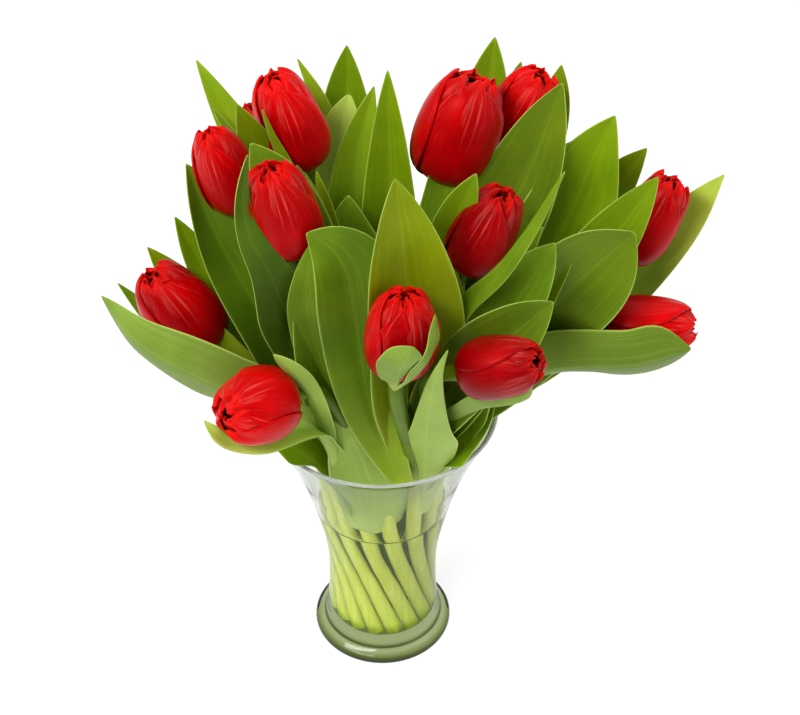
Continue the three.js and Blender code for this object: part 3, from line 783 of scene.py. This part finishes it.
def noise(nodes, links, vector, scale, detail, stretch=(1, 1, 1)):
    """Soft noise over a place, drawn out along the axes whose stretch is small."""
    mapping = nodes.new("ShaderNodeMapping")
    mapping.inputs["Scale"].default_value = stretch
    links.new(vector, mapping.inputs["Vector"])
    node = nodes.new("ShaderNodeTexNoise")
    node.inputs["Scale"].default_value = scale
    node.inputs["Detail"].default_value = detail
    links.new(mapping.outputs[0], node.inputs["Vector"])
    return node.outputs["Fac"]


def bump(nodes, links, shader, height, strength, distance):
    """Fine relief on a finish; distance is in metres."""
    node = nodes.new("ShaderNodeBump")
    node.inputs["Strength"].default_value = strength
    node.inputs["Distance"].default_value = distance
    links.new(height, node.inputs["Height"])
    links.new(node.outputs[0], shader.inputs["Normal"])


GREEN_GLEAM = (0.8, 1, 0.3, 1)
RED_GLEAM = (1, 0.1, 0.1, 1)
GLOW_DEPTH = 0.003


def living_tissue(shader, glow, reach, gloss, gleam):
    """Light goes a little way into a leaf, stem or petal, and its gleam takes a tint."""
    shader.inputs["Subsurface Weight"].default_value = glow
    shader.inputs["Subsurface Radius"].default_value = reach
    shader.inputs["Subsurface Scale"].default_value = GLOW_DEPTH
    shader.inputs["Specular IOR Level"].default_value = gloss
    shader.inputs["Specular Tint"].default_value = gleam


def leaf_material(name, dark, light, edge, rough, glow):
    """A leaf's side: fine veins along it, cloudy colour, a pale margin and rib, a paler foot."""
    material, nodes, links, shader = new_material(name)
    place = nodes.new("ShaderNodeTexCoord")
    uv = nodes.new("ShaderNodeSeparateXYZ")
    links.new(place.outputs["UV"], uv.inputs[0])
    streaks = noise(nodes, links, place.outputs["UV"], 9, 4, (9, 0.5, 1))
    veins = noise(nodes, links, place.outputs["UV"], 30, 2, (3.4, 0.06, 1))
    clouds = noise(nodes, links, place.outputs["Object"], 22, 3)
    fine = math_node(nodes, links, "MULTIPLY", streaks, 0.25)
    shade = math_node(nodes, links, "ADD", fine, math_node(nodes, links, "MULTIPLY", clouds, 0.75))
    body = mixed(nodes, links, ramp(nodes, links, shade, [(0.32, 0.0), (0.7, 1.0)]), dark, light)
    body = mixed(nodes, links, ramp(nodes, links, veins, [(0.5, 0.0), (0.66, 0.14)]), body, edge)
    aside = math_node(nodes, links, "SUBTRACT", uv.outputs[0], 0.5)
    across = math_node(nodes, links, "ABSOLUTE", aside)
    margin = ramp(nodes, links, across, [(0.475, 0.0), (0.5, 0.7)])
    body = mixed(nodes, links, margin, body, edge)
    rib = ramp(nodes, links, across, [(0.0, 0.25), (0.02, 0.0)])
    body = mixed(nodes, links, rib, body, edge)
    foot = ramp(nodes, links, uv.outputs[1], [(0.0, 0.75), (0.35, 0.0)])
    body = mixed(nodes, links, foot, body, edge)
    links.new(body, shader.inputs["Base Color"])
    sheen = ramp(nodes, links, streaks, [(0.3, rough - 0.07), (0.7, rough + 0.1)])
    links.new(sheen, shader.inputs["Roughness"])
    living_tissue(shader, glow, (0.6, 1.0, 0.12), 0.25, GREEN_GLEAM)
    relief = math_node(nodes, links, "ADD", math_node(nodes, links, "MULTIPLY", veins, 0.7), streaks)
    bump(nodes, links, shader, relief, 0.28, 0.0006)
    return material


def petal_material(name, dark, light):
    """Silky red: fine dark veins from the foot up, a darker foot in part painted shade, a brighter
    tip, pale strokes of painted sheen.
    """
    material, nodes, links, shader = new_material(name)
    place = nodes.new("ShaderNodeTexCoord")
    uv = nodes.new("ShaderNodeSeparateXYZ")
    links.new(place.outputs["UV"], uv.inputs[0])
    veins = noise(nodes, links, place.outputs["UV"], 26, 3, (2.2, 0.1, 1))
    clouds = noise(nodes, links, place.outputs["Object"], 35, 3)
    body = mixed(nodes, links, ramp(nodes, links, clouds, [(0.35, 0.0), (0.7, 1.0)]), dark, light)
    lines = ramp(nodes, links, veins, [(0.42, 0.0), (0.68, 0.4)])
    body = mixed(nodes, links, lines, body, (0.28, 0.0, 0.001))
    # darker towards the foot: partly the petal's deeper red, partly painted shade on the head's lower
    # part
    foot = ramp(nodes, links, uv.outputs[1], [(0.0, 0.9), (0.55, 0.0)])
    body = mixed(nodes, links, foot, body, (0.15, 0.0, 0.001))
    tip = ramp(nodes, links, uv.outputs[1], [(0.8, 0.0), (1.0, 0.45)])
    body = mixed(nodes, links, tip, body, (0.85, 0.012, 0.004))
    # painted highlight: pale pink strokes of sheen on the upper part of each petal
    strokes = noise(nodes, links, place.outputs["UV"], 9, 2, (2.4, 0.24, 1))
    strokes = ramp(nodes, links, strokes, [(0.56, 0.0), (0.74, 0.22)])
    high = ramp(nodes, links, uv.outputs[1], [(0.35, 0.0), (0.6, 1.0)])
    shine = math_node(nodes, links, "MULTIPLY", strokes, high)
    body = mixed(nodes, links, shine, body, (0.9, 0.2, 0.16))
    links.new(body, shader.inputs["Base Color"])
    links.new(ramp(nodes, links, veins, [(0.3, 0.3), (0.7, 0.42)]), shader.inputs["Roughness"])
    living_tissue(shader, 0.25, (1.0, 0.05, 0.03), 0.3, RED_GLEAM)
    bump(nodes, links, shader, veins, 0.3, 0.0006)
    return material


def stem_material():
    """A smooth stem: green with fine streaks, paler and yellower in the water, partly painted light.
    """
    material, nodes, links, shader = new_material("tulip_stem_green")
    place = nodes.new("ShaderNodeTexCoord")
    spot = nodes.new("ShaderNodeSeparateXYZ")
    links.new(place.outputs["Object"], spot.inputs[0])
    streaks = noise(nodes, links, place.outputs["Object"], 260, 3, (1, 1, 0.06))
    clouds = noise(nodes, links, place.outputs["Object"], 30, 2)
    cloudy = ramp(nodes, links, clouds, [(0.35, 0.0), (0.7, 1.0)])
    body = mixed(nodes, links, cloudy, (0.055, 0.105, 0.001), (0.11, 0.18, 0.003))
    # how pale it is at heights in metres: partly the stalk's own paler foot, partly painted light
    # against the shade inside the vase
    low = ramp(nodes, links, spot.outputs[2], [(0.02, 0.64), (0.1, 0.68), (0.15, 0.6), (0.2, 0.0)])
    body = mixed(nodes, links, low, body, (0.74, 0.79, 0.13))
    pale = ramp(nodes, links, streaks, [(0.4, 0.0), (0.7, 0.35)])
    pale = math_node(nodes, links, "MULTIPLY", low, pale)
    body = mixed(nodes, links, pale, body, (0.84, 0.88, 0.5))
    links.new(body, shader.inputs["Base Color"])
    shader.inputs["Roughness"].default_value = 0.42
    living_tissue(shader, 0.2, (0.7, 1.0, 0.2), 0.25, GREEN_GLEAM)
    bump(nodes, links, shader, streaks, 0.15, 0.0005)
    return material


def make_clear(nodes, links, shader, ior, depth_tint, density):
    """Smooth and clear, with a tint that grows with the depth that is looked through."""
    shader.inputs["Roughness"].default_value = 0.0
    shader.inputs["IOR"].default_value = ior
    shader.inputs["Transmission Weight"].default_value = 1.0
    output = nodes["Material Output"]
    depth = nodes.new("ShaderNodeVolumeAbsorption")
    depth.inputs["Color"].default_value = (*depth_tint, 1)
    depth.inputs["Density"].default_value = density
    links.new(depth.outputs[0], output.inputs["Volume"])
    # lamp light goes straight through, so what stands behind isn't left dark
    clear = nodes.new("ShaderNodeBsdfTransparent")
    ray = nodes.new("ShaderNodeLightPath")
    mix = nodes.new("ShaderNodeMixShader")
    links.new(ray.outputs["Is Shadow Ray"], mix.inputs["Fac"])
    links.new(shader.outputs[0], mix.inputs[1])
    links.new(clear.outputs[0], mix.inputs[2])
    links.new(mix.outputs[0], output.inputs["Surface"])


TINT_AND_SHADE_SPAN = 60  # the height up to which the glass's tint and its painted light and shade change
EDGE_ON = [(0.35, 0.0), (0.6, 0.2), (0.8, 0.5), (0.95, 1.0)]  # how the tint gives way to the painted edge shade, edge on


def glass_material(name, ior, bands, edge_on_shade):
    """Clear glass, tinted and painted with light and shade in bands by its height in mm, and painted
    darker where it is seen edge on.
    """
    material, nodes, links, shader = new_material(name)
    place = nodes.new("ShaderNodeTexCoord")
    spot = nodes.new("ShaderNodeSeparateXYZ")
    links.new(place.outputs["Object"], spot.inputs[0])
    # the bands are a tint, and in the thick foot near black and pale rings: painted shade and light
    height = math_node(nodes, links, "DIVIDE", spot.outputs[2], TINT_AND_SHADE_SPAN * MM)
    tint = ramp(nodes, links, height, [(z / TINT_AND_SHADE_SPAN, colour) for z, colour in bands])
    # painted shade: the colour turns dark where the glass is seen edge on, in place of dark
    # reflections
    glance = nodes.new("ShaderNodeLayerWeight")
    glance.inputs["Blend"].default_value = 0.5
    edge = ramp(nodes, links, glance.outputs["Facing"], EDGE_ON)
    links.new(mixed(nodes, links, edge, tint, edge_on_shade), shader.inputs["Base Color"])
    ripples = noise(nodes, links, place.outputs["Object"], 18, 2)
    bump(nodes, links, shader, ripples, 0.02, 0.001)
    make_clear(nodes, links, shader, ior, (0.8, 0.86, 0.7), 25)
    return material


def rim_material():
    """The lip of the glass, a pale half clear white: a painted highlight for the light it gathers."""
    material, nodes, links, shader = new_material("bright_glass_rim")
    place = nodes.new("ShaderNodeTexCoord")
    # painted highlight: cloudy patches of near white over the lip
    patches = noise(nodes, links, place.outputs["Object"], 14, 2)
    links.new(ramp(nodes, links, patches, [(0.35, (0.78, 0.83, 0.76)), (0.65, (0.97, 0.98, 0.95))]),
              shader.inputs["Base Color"])
    shader.inputs["Roughness"].default_value = 0.08
    shader.inputs["Alpha"].default_value = 0.55
    return material


def water_material():
    """Still water, with a faint yellow green that grows with its depth."""
    material, nodes, links, shader = new_material("still_water")
    place = nodes.new("ShaderNodeTexCoord")
    ripples = noise(nodes, links, place.outputs["Object"], 30, 2)
    bump(nodes, links, shader, ripples, 0.03, 0.001)
    shader.inputs["Base Color"].default_value = (0.97, 0.99, 0.94, 1)
    make_clear(nodes, links, shader, 1.33, (0.9, 0.96, 0.3), 12)
    return material


# ---- floor and light ----------------------------------------------------------------------------
FLOOR_SIZE = 8
FLOOR_DROP = 0.0005
FLOOR_GREY = 0.4
FLOOR_GLOW = 0.68
WORLD_LIGHT = 0.42
KEY_LIGHT = 38
FILL_LIGHT = 10
TOP_LIGHT = 16
LIGHT_AIM = Vector((0, 0, 0.25))


def add_floor():
    """A pale floor just under the foot."""
    bpy.ops.object.select_all(action="DESELECT")
    bpy.ops.mesh.primitive_plane_add(size=FLOOR_SIZE, location=(0, 0, -FLOOR_DROP))
    floor = bpy.context.object
    floor.name = "floor"
    material, *_, shader = new_material("pale_floor")
    shader.inputs["Base Color"].default_value = (FLOOR_GREY, FLOOR_GREY, FLOOR_GREY, 1)
    shader.inputs["Roughness"].default_value = 0.9
    shader.inputs["Specular IOR Level"].default_value = 0.0
    shader.inputs["Emission Color"].default_value = (1, 1, 1, 1)
    shader.inputs["Emission Strength"].default_value = FLOOR_GLOW
    floor.data.materials.append(material)


def add_softbox(name, place, size, power):
    bpy.ops.object.light_add(type="AREA", location=place)
    lamp = bpy.context.object
    lamp.name = name
    lamp.data.shape = "RECTANGLE"
    lamp.data.size, lamp.data.size_y = size
    lamp.data.energy = power
    lamp.rotation_euler = (LIGHT_AIM - Vector(place)).to_track_quat("-Z", "Y").to_euler()


def add_light():
    """A white studio: a long key light at the front left, and soft fill and top lights."""
    world = bpy.data.worlds.new("studio")
    bpy.context.scene.world = world
    world.use_nodes = True
    world.node_tree.nodes["Background"].inputs["Color"].default_value = (1, 1, 1, 1)
    world.node_tree.nodes["Background"].inputs["Strength"].default_value = WORLD_LIGHT
    add_softbox("key_softbox", (-0.9, -0.9, 1.7), (1.5, 0.4), KEY_LIGHT)
    add_softbox("fill_softbox", (1.5, -0.8, 0.9), (1.5, 1.5), FILL_LIGHT)
    add_softbox("top_softbox", (0.3, 0.6, 1.9), (1.6, 1.6), TOP_LIGHT)


# ---- the camera, then the finishes ----------------------------------------------------------
add_camera()
bpy.context.scene.view_settings.view_transform = "Standard"

# painted light and shade: near black and pale bands by height stand in for the dark and bright rings
# of the thick foot
thick_glass = glass_material("thick_foot_glass", 1.3, [
    (1, (0.001, 0.002, 0.0002)), (5, (0.003, 0.006, 0.0003)), (6.6, (0.03, 0.05, 0.003)),
    (8, (0.16, 0.22, 0.035)), (9.2, (0.45, 0.53, 0.2)), (10.2, (0.4, 0.48, 0.17)),
    (11, (0.01, 0.02, 0.001)), (11.8, (0.03, 0.05, 0.004)), (13.5, (0.3, 0.37, 0.1)),
    (16.5, (0.5, 0.57, 0.24)),
], (0.01, 0.015, 0.003))
underside_glass = glass_material("underside_glass", 1.02, [
    (0, (0.7, 0.75, 0.5)), (9, (0.72, 0.77, 0.52)),
], (0.4, 0.46, 0.2))
clear_glass = glass_material("clear_wall_glass", 1.13, [
    (20, (0.42, 0.5, 0.2)), (24.5, (0.52, 0.6, 0.3)), (28, (0.86, 0.89, 0.8)),
    (50, (0.87, 0.88, 0.86)),
], (0.26, 0.3, 0.26))
bright_rim = rim_material()
clear_water = water_material()
stem_green = stem_material()
# lit and shaded copies of one red, painted light and shade for heads that should look more or less lit
petal_reds = {
    "bright": petal_material("petal_bright_red", (0.42, 0.0, 0.001), (0.7, 0.0005, 0.001)),
    "red": petal_material("petal_red", (0.34, 0.0, 0.001), (0.58, 0.0005, 0.001)),
    "deep": petal_material("petal_deep_red", (0.17, 0.0, 0.001), (0.35, 0.0003, 0.001)),
}
# the greens of a leaf's sides: dark, light, margin, roughness, glow; besides the usual waxy and
# mid ones, these are lit and shaded copies, painted light and shade for leaves that should look
# more lit or more shaded, and shadow is painted shade
OUTER_GREENS = {
    "waxy": ((0.11, 0.19, 0.018), (0.21, 0.32, 0.045), (0.42, 0.52, 0.12), 0.46, 0.1),
    "pale": ((0.17, 0.275, 0.03), (0.32, 0.46, 0.075), (0.5, 0.6, 0.18), 0.46, 0.1),
    "deep": ((0.075, 0.135, 0.008), (0.15, 0.235, 0.02), (0.34, 0.44, 0.08), 0.44, 0.1),
}
INNER_GREENS = {
    "shadow": ((0.022, 0.06, 0.002), (0.06, 0.115, 0.004), (0.2, 0.3, 0.02), 0.42, 0.2),
    "soft": ((0.32, 0.42, 0.04), (0.46, 0.56, 0.08), (0.5, 0.6, 0.12), 0.42, 0.2),
    "olive": ((0.055, 0.108, 0.003), (0.13, 0.195, 0.006), (0.25, 0.36, 0.02), 0.42, 0.2),
    "dark": ((0.05, 0.12, 0.003), (0.12, 0.215, 0.006), (0.25, 0.36, 0.02), 0.42, 0.2),
    "mid": ((0.066, 0.143, 0.003), (0.16, 0.26, 0.007), (0.32, 0.43, 0.025), 0.42, 0.25),
    "bright": ((0.1, 0.18, 0.001), (0.19, 0.29, 0.002), (0.38, 0.48, 0.03), 0.42, 0.3),
    "light": ((0.16, 0.27, 0.003), (0.28, 0.42, 0.01), (0.42, 0.52, 0.06), 0.42, 0.3),
    "yellow": ((0.13, 0.18, 0.0005), (0.22, 0.28, 0.001), (0.4, 0.46, 0.03), 0.42, 0.3),
    "pale": ((0.44, 0.6, 0.08), (0.64, 0.8, 0.17), (0.72, 0.84, 0.3), 0.45, 0.3),
}
leaf_outer = {k: leaf_material("leaf_outer_" + k, *green) for k, green in OUTER_GREENS.items()}
leaf_inner = {k: leaf_material("leaf_inner_" + k, *green) for k, green in INNER_GREENS.items()}

# ---- the scene -----------------------------------------------------------------------------
add_floor()
add_light()
add_vase()
add_water()
for slot, flower in enumerate(FLOWERS):
    add_stem(flower, slot)
    add_head(flower, slot)
for number, leaf in enumerate(LEAVES):
    add_leaf(leaf, number)
